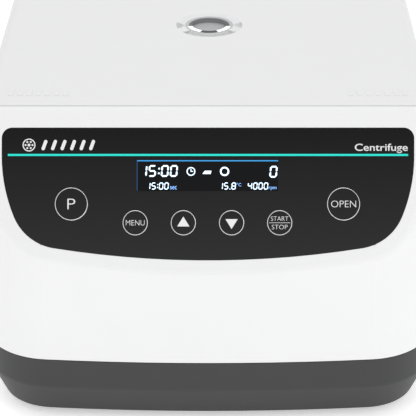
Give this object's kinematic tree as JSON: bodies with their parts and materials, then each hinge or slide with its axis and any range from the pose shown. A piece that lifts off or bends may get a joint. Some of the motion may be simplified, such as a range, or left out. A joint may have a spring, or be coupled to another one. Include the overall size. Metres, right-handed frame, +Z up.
{
  "type": "laboratory centrifuge",
  "caption": "Benchtop laboratory centrifuge with a hinged lid, a viewing window, a sloped key panel and a swing-out rotor whose buckets swing level as it spins.",
  "frame": {"origin": "on the table, under the middle of the outline seen from above", "axes": "+X to the right seen from the front, +Y from the front to the back, +Z up; the control panel faces -Y"},
  "size_m": [0.364, 0.446, 0.2556],
  "materials": {
    "casing_white": "satin",
    "lid_white": "satin",
    "base_grey": "matt",
    "foot_rubber": "matt",
    "seal_rubber": "matt",
    "boot_rubber": "matt",
    "mount_rubber": "matt",
    "screw_steel": "zinc plated",
    "chassis_steel": "zinc plated",
    "bowl_steel": "brushed",
    "guard_steel": "satin",
    "motor_black": "matt",
    "shaft_steel": "ground",
    "rotor_aluminium": "anodised",
    "bucket_aluminium": "anodised",
    "panel_black": "satin film",
    "ring_silver": "polished",
    "key_black": "satin",
    "display_glass": "glossy film",
    "module_black": "matt",
    "board_green": "lacquered",
    "window_clear": "clear",
    "liner_grey": "matt",
    "fitting_black": "matt",
    "brass_pins": "plated",
    "core_dark": "matt",
    "can_blue": "sleeve"
  },
  "bodies": {
    "casing": {"base_tray": "base_grey", "board_spacers": "chassis_steel", "board_standoffs": "chassis_steel", "bowl_floor": "bowl_steel", "bowl_seal": "seal_rubber", "bowl_wall": "bowl_steel", "capacitors": "can_blue", "casing_screws": "screw_steel", "chassis_plate": "chassis_steel", "control_panel": "panel_black", "display_glass": "display_glass", "display_module": "module_black", "fan_frame": "module_black", "fuse_holder": "fitting_black", "guard_ring": "guard_steel", "hinge_pins": "chassis_steel", "inlet_pins": "brass_pins", "key_rings": "ring_silver", "key_switches": "module_black", "keypad_board": "board_green", "latch_frame": "chassis_steel", "latch_solenoid": "module_black", "lid_switch": "module_black", "main_board": "board_green", "mains_inlet": "fitting_black", "motor_body": "motor_black", "motor_mounts": "mount_rubber", "motor_pillars": "chassis_steel", "motor_plate": "chassis_steel", "rubber_feet": "foot_rubber", "shaft_boot": "boot_rubber", "small_screws": "screw_steel", "switch_frame": "fitting_black", "transformer": "core_dark", "upper_casing": "casing_white"},
    "lid": {"lid_shell": "lid_white", "lid_liner": "liner_grey", "lid_screws": "screw_steel", "window_lens": "window_clear", "window_sleeve": "liner_grey", "window_retainer": "fitting_black", "lid_striker": "chassis_steel"},
    "rotor": {"drive_shaft": "shaft_steel", "rotor_head": "rotor_aluminium", "trunnion_pins": "shaft_steel", "rotor_nut": "screw_steel"},
    "bucket_1": {"bucket_1": "bucket_aluminium"},
    "bucket_2": {"bucket_2": "bucket_aluminium"},
    "bucket_3": {"bucket_3": "bucket_aluminium"},
    "bucket_4": {"bucket_4": "bucket_aluminium"},
    "key_program": {"key_program": "key_black"},
    "key_menu": {"key_menu": "key_black"},
    "key_up": {"key_up": "key_black"},
    "key_down": {"key_down": "key_black"},
    "key_start_stop": {"key_start_stop": "key_black"},
    "key_open": {"key_open": "key_black"},
    "latch_bolt": {"latch_bolt": "chassis_steel"},
    "lid_switch_plunger": {"lid_switch_plunger": "fitting_black"},
    "power_rocker": {"power_rocker": "fitting_black"},
    "fan": {"fan_impeller": "module_black"}
  },
  "joints": [
    {"name": "lid_hinge", "type": "hinge", "parent": "casing", "child": "lid", "pos_m": [0, 0.197, 0.238], "axis": [-1, 0, 0], "range_deg": [0, 78]},
    {"name": "rotor_spin", "type": "hinge", "parent": "casing", "child": "rotor", "pos_m": [0, 0.02, 0.205], "axis": [0, 0, 1], "continuous": true},
    {"name": "bucket_1_swing", "type": "hinge", "parent": "rotor", "child": "bucket_1", "pos_m": [0.054, 0.02, 0.205], "axis": [0, -1, 0], "range_deg": [0, 90]},
    {"name": "bucket_2_swing", "type": "hinge", "parent": "rotor", "child": "bucket_2", "pos_m": [0, 0.074, 0.205], "axis": [1, 0, 0], "range_deg": [0, 90]},
    {"name": "bucket_3_swing", "type": "hinge", "parent": "rotor", "child": "bucket_3", "pos_m": [-0.054, 0.02, 0.205], "axis": [0, 1, 0], "range_deg": [0, 90]},
    {"name": "bucket_4_swing", "type": "hinge", "parent": "rotor", "child": "bucket_4", "pos_m": [0, -0.034, 0.205], "axis": [-1, 0, 0], "range_deg": [0, 90]},
    {"name": "key_program_press", "type": "slide", "parent": "casing", "child": "key_program", "axis": [0, 0.8746, -0.4848], "range_m": [0, 0.0005], "stiffness_N_per_m": 800},
    {"name": "key_menu_press", "type": "slide", "parent": "casing", "child": "key_menu", "axis": [0, 0.8746, -0.4848], "range_m": [0, 0.0005], "stiffness_N_per_m": 800},
    {"name": "key_up_press", "type": "slide", "parent": "casing", "child": "key_up", "axis": [0, 0.8746, -0.4848], "range_m": [0, 0.0005], "stiffness_N_per_m": 800},
    {"name": "key_down_press", "type": "slide", "parent": "casing", "child": "key_down", "axis": [0, 0.8746, -0.4848], "range_m": [0, 0.0005], "stiffness_N_per_m": 800},
    {"name": "key_start_stop_press", "type": "slide", "parent": "casing", "child": "key_start_stop", "axis": [0, 0.8746, -0.4848], "range_m": [0, 0.0005], "stiffness_N_per_m": 800},
    {"name": "key_open_press", "type": "slide", "parent": "casing", "child": "key_open", "axis": [0, 0.8746, -0.4848], "range_m": [0, 0.0005], "stiffness_N_per_m": 800},
    {"name": "latch_bolt_slide", "type": "slide", "parent": "casing", "child": "latch_bolt", "axis": [1, 0, 0], "range_m": [0, 0.014], "stiffness_N_per_m": 60},
    {"name": "lid_switch_press", "type": "slide", "parent": "casing", "child": "lid_switch_plunger", "axis": [0, 0, -1], "range_m": [0, 0.003], "stiffness_N_per_m": 200},
    {"name": "power_rocker_tilt", "type": "hinge", "parent": "casing", "child": "power_rocker", "pos_m": [0.074, 0.2152, 0.098], "axis": [1, 0, 0], "range_deg": [0, 16]},
    {"name": "fan_spin", "type": "hinge", "parent": "casing", "child": "fan", "pos_m": [-0.084, 0.202, 0.108], "axis": [0, 1, 0], "continuous": true}
  ]
}
